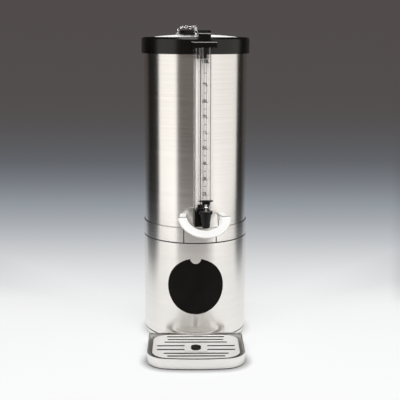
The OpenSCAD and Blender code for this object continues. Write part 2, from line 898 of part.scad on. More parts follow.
// Round in the bonnet, with a flat neck and an eye above it
module tap_stem() {
    foot = spout_z + seat_h + stem_foot;
    neck_z = bonnet_top + stem_gap;
    color([0.75, 0.74, 0.72])
    at_container() translate([0, spout_y, 0]) difference() {
        union() {
            translate([0, 0, foot]) cylinder(r = stem_r, h = neck_z - foot);
            block(eye_w - 2 * pin_gap, stem_flat, -stem_flat, neck_z - cut, pin_z);
            translate([0, 0, pin_z]) rod_x(eye_r, eye_w);
        }
        translate([0, 0, pin_z]) rod_x(pin_r + pin_gap / 2, 2 * eye_r);
    }
}

module seat_cup() {
    r = outlet_d / 2 - seat_gap_r;
    top_r = chamber_r - seat_side;
    bore_r = stem_r + pin_gap;
    color([0.85, 0.85, 0.83])
    at_container() translate([0, spout_y, spout_z + seat_h]) rotate_extrude() polygon([[0, seat_lift],
        [r, seat_lift], [top_r, seat_rise], [top_r, seat_rise + seat_rim], [bore_r + seat_neck_t, seat_neck],
        [bore_r, seat_neck], [bore_r, seat_bore_z], [0, seat_bore_z]]);
}

module lever_pin() {
    color([0.7, 0.7, 0.7])
    at_container() translate([0, spout_y, pin_z])
        rod_x(pin_r, eye_w + 2 * (eye_side_gap + cheek_t + pin_end));
}

// Fork round the stem's eye that widens up to the paddle
module tap_lever() {
    fork_w = eye_w + 2 * eye_side_gap;
    outer_w = fork_w + 2 * cheek_t;
    paddle_z = lever_h - paddle_t;
    foot_w = outer_w - 2 * pin_gap;
    color([0.04, 0.04, 0.04])
    at_container() translate([0, spout_y, pin_z]) difference() {
        union() {
            rod_x(cheek_r, outer_w);
            translate([0, lever_t / 2, 0]) front_extrude(0, lever_t) polygon([[-foot_w / 2, 0],
                [foot_w / 2, 0], [lever_top_w / 2, lever_h - paddle_t / 2],
                [-lever_top_w / 2, lever_h - paddle_t / 2]]);
            translate([0, 0, paddle_z]) {
                for (side = [-1, 1]) {
                    translate([side * (paddle_w - paddle_l) / 2, 0, 0]) cylinder(d = paddle_l, h = paddle_t);
                }
                translate([-(paddle_w - paddle_l) / 2, -paddle_l / 2, 0])
                    cube([paddle_w - paddle_l, paddle_l, paddle_t]);
            }
        }
        rod_x(pin_r + pin_gap, outer_w + 2 * cut);
        block(fork_w, 2 * cheek_r, -2 * cheek_r, -2 * cheek_r, eye_r + fork_hole);
    }
}

// Turns a guard pad to the place where its arm meets the container
module guard_pad_turn(side) {
    rotate([0, 0, side * asin(arm_foot_x / container_r)]) children();
}

module tap_guard() {
    pad_r = container_r + fixed_gap + guard_t;
    root_y = -sqrt(pow(container_r, 2) - pow(arm_foot_x + arm_w, 2));
    arm_plan = [[arm_x - arm_w / 2, guard_y + crease], [arm_x + arm_w / 2, guard_y + crease],
        [arm_foot_x + arm_w / 2, root_y], [arm_foot_x - arm_w / 2, root_y]];
    color([0.96, 0.96, 0.95])
    at_container() difference() {
        union() {
            translate([0, guard_y, guard_z]) rotate([guard_slope, 0, 0]) translate([0, 0, -guard_t])
                linear_extrude(height = guard_t) difference() {
                    circle(r = guard_r);
                    circle(r = guard_ri);
                    translate([-guard_r - cut, 0]) square([2 * (guard_r + cut), guard_r + cut]);
                }
            for (side = [-1, 1]) {
                translate([0, 0, guard_z - crease - guard_t]) linear_extrude(height = guard_t)
                    polygon([for (p = arm_plan) [side * p[0], p[1]]]);
                guard_pad_turn(side) intersection() {
                    translate([0, 0, pad_z]) ring(pad_r, container_r - cut, pad_h);
                    block(guard_pad_w, 0, -pad_r - cut, pad_z - cut, guard_z + cut);
                }
            }
        }
        cylinder(r = container_r + fixed_gap, h = shell_top);
        for (side = [-1, 1]) {
            guard_pad_turn(side) translate([0, 0, screw_z]) rod_y(screw_d + 2 * fixed_gap, 0, -pad_r - cut);
        }
    }
}

module guard_screws() {
    pad_r = container_r + fixed_gap + guard_t;
    color([0.7, 0.7, 0.7])
    at_container() for (side = [-1, 1]) {
        guard_pad_turn(side) translate([0, 0, screw_z]) {
            rod_y(screw_d, -container_r - fixed_gap, -pad_r - screw_head_h);
            rod_y(screw_head_d, -pad_r, -pad_r - screw_head_h);
        }
    }
}

module lid_rim() {
    color([0.05, 0.05, 0.05])
    at_container() translate([0, 0, lid_z]) rotate_extrude() difference() {
        union() {
            square([lid_r - lid_edge_r, lid_h]);
            square([lid_r, lid_h - lid_edge_r]);
            translate([lid_r - lid_edge_r, lid_h - lid_edge_r]) circle(r = lid_edge_r);
        }
        translate([0, -cut]) square([lid_r - lid_wall, lid_h - rim_top_t + cut]);
        translate([0, -cut]) square([dome_r + fixed_gap, lid_h + 2 * cut]);
    }
}

module lid_top() {
    color([0.8, 0.79, 0.77])
    at_container() rotate_extrude() intersection() {
        translate([fill_r + fill_wall + fixed_gap, rim_seat])
            square([dome_r - fill_r - fill_wall - fixed_gap, lid_h]);
        union() {
            translate([0, dome_top - dome_ball_r]) difference() {
                circle(r = dome_ball_r, $fn = 1440);
                circle(r = dome_ball_r - sheet_t, $fn = 1440);
            }
            translate([dome_r - sheet_t, rim_seat]) square([sheet_t, dome_edge_z - rim_seat]);
        }
    }
}

module lid_liner() {
    color([0.1, 0.1, 0.1])
    at_container() difference() {
        union() {
            translate([0, 0, liner_z]) cylinder(r = lid_r - lid_wall - fixed_gap, h = flange_t);
            translate([0, 0, liner_z - liner_depth]) cylinder(r = neck_r - liner_gap, h = liner_depth + cut);
            translate([0, 0, liner_z]) cylinder(r = fill_r + fill_wall, h = dome_top - liner_z);
        }
        translate([0, 0, liner_z - liner_depth - cut]) cylinder(r = fill_r, h = lid_h + liner_depth);
    }
}

module lid_gasket() {
    color([0.8, 0.8, 0.78])
    at_container() translate([0, 0, liner_z - gasket_h])
        ring(neck_r + gasket_in + gasket_w, neck_r + gasket_in, gasket_h);
}

module fill_plug() {
    color([0.05, 0.05, 0.05])
    at_container() difference() {
        rotate_extrude() difference() {
            union() {
                translate([0, plug_z]) square([plug_d / 2 - plug_edge_r, plug_h]);
                translate([0, plug_z]) square([plug_d / 2, plug_h - plug_edge_r]);
                translate([plug_d / 2 - plug_edge_r, plug_top - plug_edge_r]) circle(r = plug_edge_r);
                translate([0, plug_z - plug_tail]) square([fill_r - move_gap, plug_tail + cut]);
            }
            translate([fill_r - move_gap - ring_w, plug_z - plug_tail / 2])
                square([2 * ring_w, ring_h + 2 * fixed_gap]);
        }
        translate([0, 0, plug_z - plug_tail - cut])
            cylinder(r = eye_stem_r + pin_gap, h = plug_tail + plug_h + 2 * cut);
    }
}

module plug_seal() {
    color([0.8, 0.8, 0.78])
    at_container() translate([0, 0, plug_z - plug_tail / 2 + fixed_gap])
        ring(fill_r - fixed_gap, fill_r - move_gap - ring_w + fixed_gap, ring_h);
}

// Wire bent round z in the XY plane through an angle
module bent_wire(r, angle) {
    rotate_extrude(angle = angle, $fn = 64) translate([r, 0]) circle(d = wire_d, $fn = 24);
}

// Chain link along +X from the origin, with round ends and straight sides
module link(length) {
    half_w = (link_w + wire_d) / 2;
    run = length + link_gap + wire_d - 2 * half_w;
    for (end = [0, 1]) {
        translate([length / 2 + (end - 0.5) * run, 0, 0]) rotate([0, 0, 90 - 180 * end])
            bent_wire(half_w, 180);
    }
    for (side = [-1, 1]) {
        translate([length / 2 - run / 2, side * half_w, 0]) rotate([0, 90, 0])
            cylinder(d = wire_d, h = run, $fn = 24);
    }
}

// Links from joint to joint, each rolled across the one before it
module link_run(joints, rolls) {
    for (i = [0:len(joints) - 2]) {
        step = joints[i + 1] - joints[i];
        translate([joints[i][0], joints[i][1], plug_top + joints[i][2]])
            rotate([0, -atan2(step[2], norm([step[0], step[1]])), atan2(step[1], step[0])])
                rotate([rolls[i], 0, 0]) link(norm(step));
    }
}

module plug_chain() {
    color([0.8, 0.8, 0.8])
    at_container() {
        link_run(side_run, side_roll);
        link_run(front_run, front_roll);
    }
}

// Rivet disc on the dome with a wire loop that the chain's end link is hooked in
module anchor(joint, next) {
    step = next - joint;
    hook = joint + step / norm(step) * (wire_d + link_gap) / 2;
    reach = norm([hook[0], hook[1]]);
    ball = dome_ball_r + pin_gap;
    lean = asin(reach / ball);
    disc_top = dome_top - dome_ball_r + (ball + anchor_disc_h) * cos(lean);
    arch_z = plug_top + hook[2] - loop_r;
    translate([0, 0, dome_top - dome_ball_r]) rotate([0, lean, atan2(hook[1], hook[0])])
        translate([0, 0, ball]) cylinder(d = anchor_disc_d, h = anchor_disc_h);
    translate([hook[0], hook[1], arch_z]) rotate([0, 0, atan2(step[1], step[0])]) {
        rotate([90, 0, 0]) bent_wire(loop_r, 180);
        for (side = [-1, 1]) {
            translate([side * loop_r, 0, disc_top - arch_z - anchor_disc_h / 2])
                cylinder(d = wire_d, h = arch_z - disc_top + anchor_disc_h / 2, $fn = 24);
        }
    }
}

module chain_anchors() {
    last = len(front_run) - 1;
    color([0.75, 0.75, 0.75])
    at_container() {
        anchor(side_run[0], side_run[1]);
        anchor(front_run[last], front_run[last - 1]);
    }
}

// Swivel in the middle of the plug with the ring that both runs of the chain are hooked in
module chain_eye() {
    color([0.75, 0.75, 0.75])
    at_container() {
        translate([0, 0, plug_z]) cylinder(r = eye_stem_r, h = plug_h + eye_lift + eye_disc_h);
        translate([0, 0, plug_top + eye_lift]) cylinder(r = eye_disc_r, h = eye_disc_h);
        translate([0, 0, plug_top + eye_ring_z]) rotate([90, 0, eye_turn]) bent_wire(eye_ring_r, 360);
    }
}

rubber_feet();
base_plate();
base_ring();
stand_shell();
window_panel();
support_deck();
collar_ring();
collar_front_plate();
drip_tray();
tray_pads();
drip_grille();
outer_shell();
inner_vessel();
vessel_floor();
vessel_neck();
insulation_foam();
container_base();
neck_ring();
tap_plate();
tap_shank();
shank_nut();
shank_seals();
gauge_block();
tube_nut();
gauge_tube();
tube_seals();
gauge_shield();
gauge_scale();
gauge_bracket();
gauge_plate();
gauge_cap();
tap_body();
tap_bonnet();
tap_guard();
guard_screws();
tap_stem();
seat_cup();
lever_pin();
tap_lever();
lid_rim();
lid_top();
lid_liner();
lid_gasket();
chain_anchors();
plug_chain();
chain_eye();
fill_plug();
plug_seal();
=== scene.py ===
import math

import bpy
from mathutils import Matrix, Vector


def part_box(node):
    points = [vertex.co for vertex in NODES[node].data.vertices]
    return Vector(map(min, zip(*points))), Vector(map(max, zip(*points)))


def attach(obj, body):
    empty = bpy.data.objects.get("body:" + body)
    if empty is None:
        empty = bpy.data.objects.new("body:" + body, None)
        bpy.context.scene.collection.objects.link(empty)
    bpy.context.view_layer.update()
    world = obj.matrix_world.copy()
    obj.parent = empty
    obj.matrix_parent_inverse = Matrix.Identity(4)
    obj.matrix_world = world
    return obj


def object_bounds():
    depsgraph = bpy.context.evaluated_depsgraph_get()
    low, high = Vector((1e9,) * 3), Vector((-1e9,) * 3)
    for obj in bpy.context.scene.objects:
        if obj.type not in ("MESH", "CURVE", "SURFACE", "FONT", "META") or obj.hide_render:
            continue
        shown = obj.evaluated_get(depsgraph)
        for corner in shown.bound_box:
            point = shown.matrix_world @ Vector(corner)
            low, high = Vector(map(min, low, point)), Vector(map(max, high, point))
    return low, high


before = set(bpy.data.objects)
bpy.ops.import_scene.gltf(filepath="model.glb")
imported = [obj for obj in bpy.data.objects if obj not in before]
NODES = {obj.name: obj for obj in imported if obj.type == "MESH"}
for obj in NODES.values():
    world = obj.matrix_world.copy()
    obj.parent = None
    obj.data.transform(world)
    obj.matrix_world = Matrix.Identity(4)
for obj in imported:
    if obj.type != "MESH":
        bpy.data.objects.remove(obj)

CAD_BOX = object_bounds()
MM = 0.001

# The container's turn and places in its frame, in millimetres, that the CAD source also uses
CONTAINER_TURN = math.radians(7.3)
SCALE_X = 4.6
SCALE_LINE_X = 2.3
TUBE_X = -6.0
GUARD_BEND_Y = -137.0
LABELS = {10: 595.6, 9: 549.7, 8: 516.4, 7: 485.1, 6: 452.7, 5: 421.2, 4: 389.2, 3: 357.2, 2: 325.8}


# Helpers for shader nodes

# Parts of a noise's range that a change of colour or of a value is spread over
COLOUR_NOISE = (0.35, 0.65)
VALUE_NOISE = (0.3, 0.7)


def new_material(name):
    mat = bpy.data.materials.new(name)
    mat.use_nodes = True
    nodes = mat.node_tree.nodes
    return mat, nodes, mat.node_tree.links, nodes["Principled BSDF"]


def calculator(nodes, links):
    """Returns a function that adds a maths node, on inputs that are sockets or numbers."""
    def calc(operation, a, b=0.0):
        node = nodes.new("ShaderNodeMath")
        node.operation = operation
        for socket, value in zip(node.inputs, (a, b)):
            if isinstance(value, (int, float)):
                socket.default_value = value
            else:
                links.new(value, socket)
        return node.outputs["Value"]
    return calc


def axes_of(nodes, links, kind):
    """The X, Y and Z sockets of one of the texture coordinates, such as Object or Normal."""
    coords = nodes.new("ShaderNodeTexCoord")
    parts = nodes.new("ShaderNodeSeparateXYZ")
    links.new(coords.outputs[kind], parts.inputs["Vector"])
    return parts.outputs


def gap(calc, value, centre):
    return calc("ABSOLUTE", calc("SUBTRACT", value, centre))


def stretched_noise(nodes, links, stretch, detail=3.0):
    """Noise in object space, in metres, drawn out along the axes with the small factors."""
    coords = nodes.new("ShaderNodeTexCoord")
    mapping = nodes.new("ShaderNodeMapping")
    mapping.inputs["Scale"].default_value = stretch
    noise = nodes.new("ShaderNodeTexNoise")
    noise.inputs["Scale"].default_value = 1.0
    noise.inputs["Detail"].default_value = detail
    noise.inputs["Roughness"].default_value = 0.55
    links.new(coords.outputs["Object"], mapping.inputs["Vector"])
    links.new(mapping.outputs["Vector"], noise.inputs["Vector"])
    return noise


def colour_between(nodes, links, noise, dark, pale):
    ramp = nodes.new("ShaderNodeValToRGB")
    for element, position, colour in zip(ramp.color_ramp.elements, COLOUR_NOISE, (dark, pale)):
        element.position = position
        element.color = (*colour, 1)
    links.new(noise.outputs["Fac"], ramp.inputs["Fac"])
    return ramp.outputs["Color"]


def value_between(nodes, links, noise, low, high):
    ranged = nodes.new("ShaderNodeMapRange")
    ranged.inputs["From Min"].default_value = VALUE_NOISE[0]
    ranged.inputs["From Max"].default_value = VALUE_NOISE[1]
    ranged.inputs["To Min"].default_value = low
    ranged.inputs["To Max"].default_value = high
    links.new(noise.outputs["Fac"], ranged.inputs["Value"])
    return ranged.outputs["Result"]


def add_bump(nodes, links, shader, noise, distance, edge):
    """Fine relief on the surface, with the sharp edges broken as they are on a real part."""
    bump = nodes.new("ShaderNodeBump")
    worn = nodes.new("ShaderNodeBevel")
    worn.samples = 4
    worn.inputs["Radius"].default_value = edge
    links.new(worn.outputs["Normal"], bump.inputs["Normal"])
    bump.inputs["Strength"].default_value = 0.3
    bump.inputs["Distance"].default_value = distance
    links.new(noise.outputs["Fac"], bump.inputs["Height"])
    links.new(bump.outputs["Normal"], shader.inputs["Normal"])


def mixed(nodes, links, share, source, value, blend="MIX"):
    """A socket's colour or number with a constant mixed in, by a share that is a socket or a number."""
    mix = nodes.new("ShaderNodeMix")
    mix.data_type = "FLOAT" if isinstance(value, float) else "RGBA"
    mix.blend_type = blend
    if isinstance(share, float):
        mix.inputs["Factor"].default_value = share
    else:
        links.new(share, mix.inputs["Factor"])
    ends = [i for i in mix.inputs if i.name in "AB" and i.enabled]
    links.new(source, ends[0])
    ends[1].default_value = value
    return [o for o in mix.outputs if o.enabled][0]


def mix_into(mat, share, tone, rough=None):
    """Mixes a tone, and a roughness if there is one, into a material by a share from 0 to 1."""
    nodes, links = mat.node_tree.nodes, mat.node_tree.links
    shader = nodes["Principled BSDF"]
    changes = {"Base Color": (*tone, 1)}
    if rough is not None:
        changes["Roughness"] = rough
    for name, value in changes.items():
        socket = shader.inputs[name]
        source = socket.links[0].from_socket
        links.new(mixed(nodes, links, share, source, value), socket)


# Kinds of material, with the depth of their relief and the radius of their worn edges in metres

STEEL_RELIEF = 0.00002
PLASTIC_RELIEF = 0.00004
EDGE_R = 0.0006


def brushed_steel(name, dark, pale, stretch, rough, anisotropy=0.0, metal=1.0):
    """Satin steel whose brush lines run along the axes with small stretch factors."""
    mat, nodes, links, shader = new_material(name)
    noise = stretched_noise(nodes, links, stretch, detail=4.0)
    links.new(colour_between(nodes, links, noise, dark, pale), shader.inputs["Base Color"])
    links.new(value_between(nodes, links, noise, *rough), shader.inputs["Roughness"])
    shader.inputs["Metallic"].default_value = metal
    if anisotropy:
        shader.inputs["Anisotropic"].default_value = anisotropy
        tangent = nodes.new("ShaderNodeTangent")
        tangent.direction_type = "RADIAL"
        tangent.axis = "Z"
        shader.inputs["Anisotropic Rotation"].default_value = 0.25
        links.new(tangent.outputs["Tangent"], shader.inputs["Tangent"])
    add_bump(nodes, links, shader, noise, STEEL_RELIEF, EDGE_R)
    return mat


def plastic(name, dark, pale, rough, grain=900.0, bump=PLASTIC_RELIEF, shine=0.5, edge=EDGE_R):
    """Moulded plastic with a fine grain and faint handling marks."""
    mat, nodes, links, shader = new_material(name)
    marks = stretched_noise(nodes, links, (30, 30, 30), detail=5.0)
    links.new(colour_between(nodes, links, marks, dark, pale), shader.inputs["Base Color"])
    links.new(value_between(nodes, links, marks, *rough), shader.inputs["Roughness"])
    shader.inputs["Specular IOR Level"].default_value = shine
    texture = stretched_noise(nodes, links, (grain, grain, grain), detail=2.0)
    add_bump(nodes, links, shader, texture, bump, edge)
    return mat


def clear_plastic(name, colour, ior):
    """Clear plastic that lets the lamps' light through to what lies behind it."""
    mat, nodes, links, shader = new_material(name)
    shader.inputs["Base Color"].default_value = (*colour, 1)
    shader.inputs["Transmission Weight"].default_value = 1.0
    shader.inputs["IOR"].default_value = ior
    scratches = stretched_noise(nodes, links, (400, 400, 12), detail=3.0)
    links.new(value_between(nodes, links, scratches, 0.0, 0.02), shader.inputs["Roughness"])
    rays = nodes.new("ShaderNodeLightPath")
    through = nodes.new("ShaderNodeBsdfTransparent")
    mix = nodes.new("ShaderNodeMixShader")
    links.new(rays.outputs["Is Shadow Ray"], mix.inputs["Fac"])
    links.new(shader.outputs["BSDF"], mix.inputs[1])
    links.new(through.outputs["BSDF"], mix.inputs[2])
    links.new(mix.outputs["Shader"], nodes["Material Output"].inputs["Surface"])
    return mat


# Changes of tone on parts of a surface, with lengths in metres; most of them are painted shade or a
# painted highlight

SEAM_REACH = 0.0017
SEAM_BLUR = 0.0008
UPRIGHT_SEAM_DEPTH = 0.8
# Tone and roughness of the painted shade in seams
SEAM_SHADE_TONE = (0.03, 0.026, 0.022)
SEAM_SHADE_ROUGH = 0.6
LINE_HALF_WIDTH = 0.0012
# Upward share of a surface's direction, above which it looks up and below which it doesn't
LOOKS_UP = 0.7
LOOKS_ASIDE = 0.5


def surface_of(mat):
    """A calculator on the material, with the axes of the point and of the way that the surface faces."""
    nodes, links = mat.node_tree.nodes, mat.node_tree.links
    return calculator(nodes, links), axes_of(nodes, links, "Object"), axes_of(nodes, links, "Normal")


def seam_shadows(mat, seams, bearings, low, high, radius):
    """Painted shade along level seams and along upright ones, darkening the steel where shade falls in the
    gaps.

    Level seams are pairs of a height and a depth of tone. Upright seams are bearings from the front,
    and lie between two heights on a body of the given radius.
    """
    calc, place, _ = surface_of(mat)

    def line(distance, depth):
        fall = calc("DIVIDE", calc("SUBTRACT", SEAM_REACH, distance), SEAM_BLUR)
        return calc("MULTIPLY", calc("MINIMUM", fall, 1.0), depth)

    total = 0.0
    for level, depth in seams:
        total = calc("MAXIMUM", line(gap(calc, place["Z"], level), depth), total)
    bearing = calc("ARCTAN2", place["X"], calc("MULTIPLY", place["Y"], -1.0))
    inside = calc("MULTIPLY", calc("GREATER_THAN", place["Z"], low), calc("LESS_THAN", place["Z"], high))
    for angle in bearings:
        along = calc("MULTIPLY", gap(calc, bearing, angle), radius)
        total = calc("MAXIMUM", calc("MULTIPLY", line(along, UPRIGHT_SEAM_DEPTH), inside), total)
    mix_into(mat, total, SEAM_SHADE_TONE, SEAM_SHADE_ROUGH)


def painted_edge_highlights(mat, heights, tone):
    """Painted highlight: a paler line at the given heights on the faces that don't look up, where an edge
    would catch the light.
    """
    calc, place, facing = surface_of(mat)
    total = 0.0
    for level in heights:
        total = calc("MAXIMUM", calc("LESS_THAN", gap(calc, place["Z"], level), LINE_HALF_WIDTH), total)
    mix_into(mat, calc("MULTIPLY", total, calc("LESS_THAN", facing["Z"], LOOKS_ASIDE)), tone)


def bend_shadow(mat, bend_y, tone):
    """Shadow in a bend across the container's front, at a depth in the container's own frame."""
    calc, place, _ = surface_of(mat)
    along = calc("MULTIPLY", place["Y"], math.cos(CONTAINER_TURN))
    across = calc("MULTIPLY", place["X"], math.sin(CONTAINER_TURN))
    away = gap(calc, calc("SUBTRACT", along, across), bend_y)
    mix_into(mat, calc("LESS_THAN", away, LINE_HALF_WIDTH), tone)


def faces_up(mat, below, tone, rough):
    """A tone and a roughness for the faces that look up below a height."""
    calc, place, facing = surface_of(mat)
    low = calc("LESS_THAN", place["Z"], below)
    mix_into(mat, calc("MULTIPLY", low, calc("GREATER_THAN", facing["Z"], LOOKS_UP)), tone, rough)


def faces_aside(mat, tone, rough):
    """A tone and a roughness for the faces that don't look up, such as the walls of slots."""
    calc, _, facing = surface_of(mat)
    mix_into(mat, calc("LESS_THAN", facing["Z"], LOOKS_ASIDE), tone, rough)


def side_bearings(name):
    """Bearings of a node's two sides from the front, seen from the stand's axis."""
    bearings = [math.atan2(v.co.x, -v.co.y) for v in NODES[name].data.vertices]
    return min(bearings), max(bearings)


# Materials

body_steel = brushed_steel("body_steel", (0.82, 0.797, 0.762), (0.905, 0.88, 0.842), (6, 6, 1500),
                           (0.2, 0.27), anisotropy=0.6)
collar_low, collar_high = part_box("collar_ring")
# Painted shade along the collar's two seams and the stand's lower seam, beside the collar's front plate,
# and beside the tap plate below the guard
SEAM_GAP = 0.0005
seam_shadows(body_steel, ((collar_low.z - SEAM_GAP, 0.9), (collar_high.z + SEAM_GAP, 0.25),
                          (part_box("stand_shell")[0].z - SEAM_GAP, 0.9)),
             side_bearings("collar_front_plate"), collar_low.z, collar_high.z, collar_high.x)
seam_shadows(body_steel, (), side_bearings("tap_plate"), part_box("tap_plate")[0].z,
             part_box("tap_guard")[1].z, collar_high.x)

# Painted shade: on the tray the faces that look up are darker below the ledge's height and darker still
# below the basin's height, for the shade in the channel round the grille and in the basin
TRAY_LEDGE_Z = 0.0195
TRAY_BASIN_Z = 0.012
tray_steel = brushed_steel("tray_steel", (0.82, 0.805, 0.78), (0.9, 0.885, 0.86), (8, 700, 700),
                           (0.3, 0.36))
faces_up(tray_steel, TRAY_LEDGE_Z, (0.62, 0.61, 0.59), 0.4)
faces_up(tray_steel, TRAY_BASIN_Z, (0.2, 0.195, 0.185), 0.42)
grille_steel = brushed_steel("grille_steel", (0.9, 0.885, 0.87), (0.95, 0.94, 0.925), (10, 900, 60),
                             (0.42, 0.5), metal=0.15)
# Painted shade on the walls of the grille's slots
faces_aside(grille_steel, (0.12, 0.11, 0.1), 0.6)
inner_steel = brushed_steel("inner_steel", (0.6, 0.6, 0.59), (0.7, 0.7, 0.69), (30, 30, 600), (0.28, 0.36))
# Painted shade: near-black steel for the support deck, whose edge shows in the seams, standing in for the
# shade in them
painted_shade_steel = brushed_steel("painted_shade_steel", (0.05, 0.048, 0.045), (0.08, 0.076, 0.07), (30, 30, 600),
                           (0.5, 0.6))
lid_steel = brushed_steel("lid_steel", (0.78, 0.77, 0.75), (0.86, 0.85, 0.83), (500, 500, 20), (0.3, 0.36))
chain_chrome = brushed_steel("chain_chrome", (0.8, 0.8, 0.8), (0.9, 0.9, 0.9), (300, 300, 300),
                             (0.12, 0.2))

BLACK = ((0.003, 0.003, 0.0025), (0.005, 0.0045, 0.004))
# Drop below a top at which a painted highlight line runs
EDGE_HIGHLIGHT_DROP = 0.0014
TOP_Z = CAD_BOX[1][2]
black_gloss = plastic("black_gloss", *BLACK, (0.24, 0.3), shine=0.22, edge=0.002)
# cap_black is black_gloss with a painted highlight along the top edges of the gauge's plate and cap
cap_black = plastic("cap_black", *BLACK, (0.24, 0.3), shine=0.22, edge=0.002)
painted_edge_highlights(cap_black, [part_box(name)[1].z - EDGE_HIGHLIGHT_DROP for name in ("gauge_plate", "gauge_cap")],
            (0.36, 0.35, 0.34))
rim_black = plastic("rim_black", *BLACK, (0.2, 0.26), bump=0.00001, shine=0.4)
faces_up(rim_black, TOP_Z, (0.003, 0.003, 0.003), 0.08)
black_satin = plastic("black_satin", (0.004, 0.004, 0.0035), (0.007, 0.0065, 0.006), (0.4, 0.48),
                      shine=0.15)
panel_black = plastic("panel_black", (0.005, 0.0045, 0.004), (0.008, 0.007, 0.006), (0.5, 0.56),
                      shine=0.08)
white_plastic = plastic("white_plastic", (0.86, 0.86, 0.85), (0.9, 0.9, 0.89), (0.4, 0.46))
bend_shadow(white_plastic, GUARD_BEND_Y * MM, (0.1, 0.085, 0.075))
rubber = plastic("rubber", (0.015, 0.015, 0.015), (0.03, 0.03, 0.03), (0.7, 0.8))
silicone = plastic("silicone", (0.6, 0.6, 0.58), (0.68, 0.68, 0.66), (0.45, 0.55))
foam = plastic("foam", (0.72, 0.66, 0.42), (0.8, 0.74, 0.5), (0.8, 0.9), grain=400.0, bump=0.0003)
clear = clear_plastic("clear_shield", (1.0, 1.0, 1.0), ior=1.49)
tube_clear = clear_plastic("clear_tube", (0.97, 0.97, 0.96), ior=1.46)
strip = plastic("scale_strip", (0.74, 0.7, 0.68), (0.8, 0.76, 0.74), (0.4, 0.5))
print_ink = plastic("print_ink", (0.004, 0.004, 0.004), (0.008, 0.008, 0.008), (0.5, 0.6), shine=0.2)
stripe_ink = plastic("stripe_ink", (0.08, 0.05, 0.045), (0.1, 0.065, 0.06), (0.5, 0.6), shine=0.2)

LOOKS = {
    body_steel: ("base_ring", "stand_shell", "collar_ring", "collar_front_plate", "outer_shell",
                 "tap_plate"),
    tray_steel: ("drip_tray",),
    grille_steel: ("drip_grille",),
    inner_steel: ("base_plate", "inner_vessel", "vessel_floor", "vessel_neck", "tap_shank", "shank_nut"),
    painted_shade_steel: ("support_deck",),
    lid_steel: ("lid_top",),
    chain_chrome: ("chain_anchors", "plug_chain", "chain_eye", "guard_screws", "tap_stem", "lever_pin"),
    black_gloss: ("gauge_block", "tap_body", "tap_lever"),
    cap_black: ("gauge_plate", "gauge_cap"),
    rim_black: ("lid_rim",),
    black_satin: ("container_base", "neck_ring", "tube_nut", "gauge_bracket", "tap_bonnet", "lid_liner",
                  "fill_plug"),
    panel_black: ("window_panel",),
    white_plastic: ("tap_guard",),
    rubber: ("rubber_feet", "tray_pads"),
    silicone: ("shank_seals", "tube_seals", "seat_cup", "lid_gasket", "plug_seal"),
    foam: ("insulation_foam",),
    clear: ("gauge_shield",),
    tube_clear: ("gauge_tube",),
    strip: ("gauge_scale",),
}
for material, names in LOOKS.items():
    for name in names:
        mesh = NODES[name].data
        mesh.materials.clear()
        mesh.materials.append(material)


# Printing on the gauge's scale, with its sizes in millimetres

SCALE_LINE_HALF = 0.3
TICK_HALF = 0.6
STRIPE_HALF = 1.8
PRINT_END = 1
LABEL_SIZE = 9.6
LABEL_WEIGHT = 0.28
INK_THICK = 0.06
LABEL_THICK_HALF = 0.04
LABEL_FRONT = 0.1
PRINT_FRONT = 0.45

container_matrix = Matrix.Rotation(CONTAINER_TURN, 4, "Z")
scale_low, scale_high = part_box("gauge_scale")
scale_centre = container_matrix.inverted() @ ((scale_low + scale_high) / 2)
PRINT_Y = scale_centre.y - PRINT_FRONT * MM


def flat_piece(name, rectangles, ink):
    """Thin printed bars in the container's frame, each given as x0, x1, z0, z1 in millimetres."""
    verts, faces = [], []
    for x0, x1, z0, z1 in rectangles:
        start = len(verts)
        for x, z in ((x0, z0), (x1, z0), (x1, z1), (x0, z1)):
            verts.append((x * MM, PRINT_Y, z * MM))
        faces.append((start, start + 1, start + 2, start + 3))
    mesh = bpy.data.meshes.new(name)
    mesh.from_pydata(verts, [], faces)
    piece = bpy.data.objects.new(name, mesh)
    bpy.context.scene.collection.objects.link(piece)
    thick = piece.modifiers.new("thickness", "SOLIDIFY")
    thick.thickness = INK_THICK * MM
    thick.offset = 0
    piece.matrix_world = container_matrix
    piece.data.materials.append(ink)
    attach(piece, "container")


def label(text, z):
    """Printed number at a height in millimetres."""
    curve = bpy.data.curves.new("scale_number_" + text, "FONT")
    curve.body = text
    curve.size = LABEL_SIZE * MM
    curve.align_x = "CENTER"
    curve.align_y = "CENTER"
    curve.extrude = LABEL_THICK_HALF * MM
    curve.offset = LABEL_WEIGHT * MM
    piece = bpy.data.objects.new("scale_number_" + text, curve)
    bpy.context.scene.collection.objects.link(piece)
    place = Matrix.Translation((SCALE_X * MM, PRINT_Y - LABEL_FRONT * MM, z * MM))
    piece.matrix_world = container_matrix @ place @ Matrix.Rotation(math.pi / 2, 4, "X")
    curve.materials.append(print_ink)
    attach(piece, "container")


bars = []
z_low, z_high = scale_low.z / MM + PRINT_END, scale_high.z / MM - PRINT_END
for side in (-1, 1):
    x = SCALE_X + side * SCALE_LINE_X
    bars.append((x - SCALE_LINE_HALF, x + SCALE_LINE_HALF, z_low, z_high))
for litre in range(min(LABELS), max(LABELS)):
    middle = (LABELS[litre] + LABELS[litre + 1]) / 2
    bars.append((SCALE_X - SCALE_LINE_X, SCALE_X + SCALE_LINE_X, middle - TICK_HALF, middle + TICK_HALF))
flat_piece("scale_bars", bars, print_ink)
flat_piece("tube_stripe", [(TUBE_X - STRIPE_HALF, TUBE_X + STRIPE_HALF, z_low, z_high)], stripe_ink)
for litre, height in LABELS.items():
    label(f"{litre}L", height)


# Floor and backdrop, in metres from the stand's axis: a painted pool of light that glows white round the
# object and darkens with distance

# Behind the object the floor stays pale over a width that grows with distance
PALE_HALF_WIDTH = 0.44
PALE_SPREAD = 0.24
BESIDE_FALL = 3.4
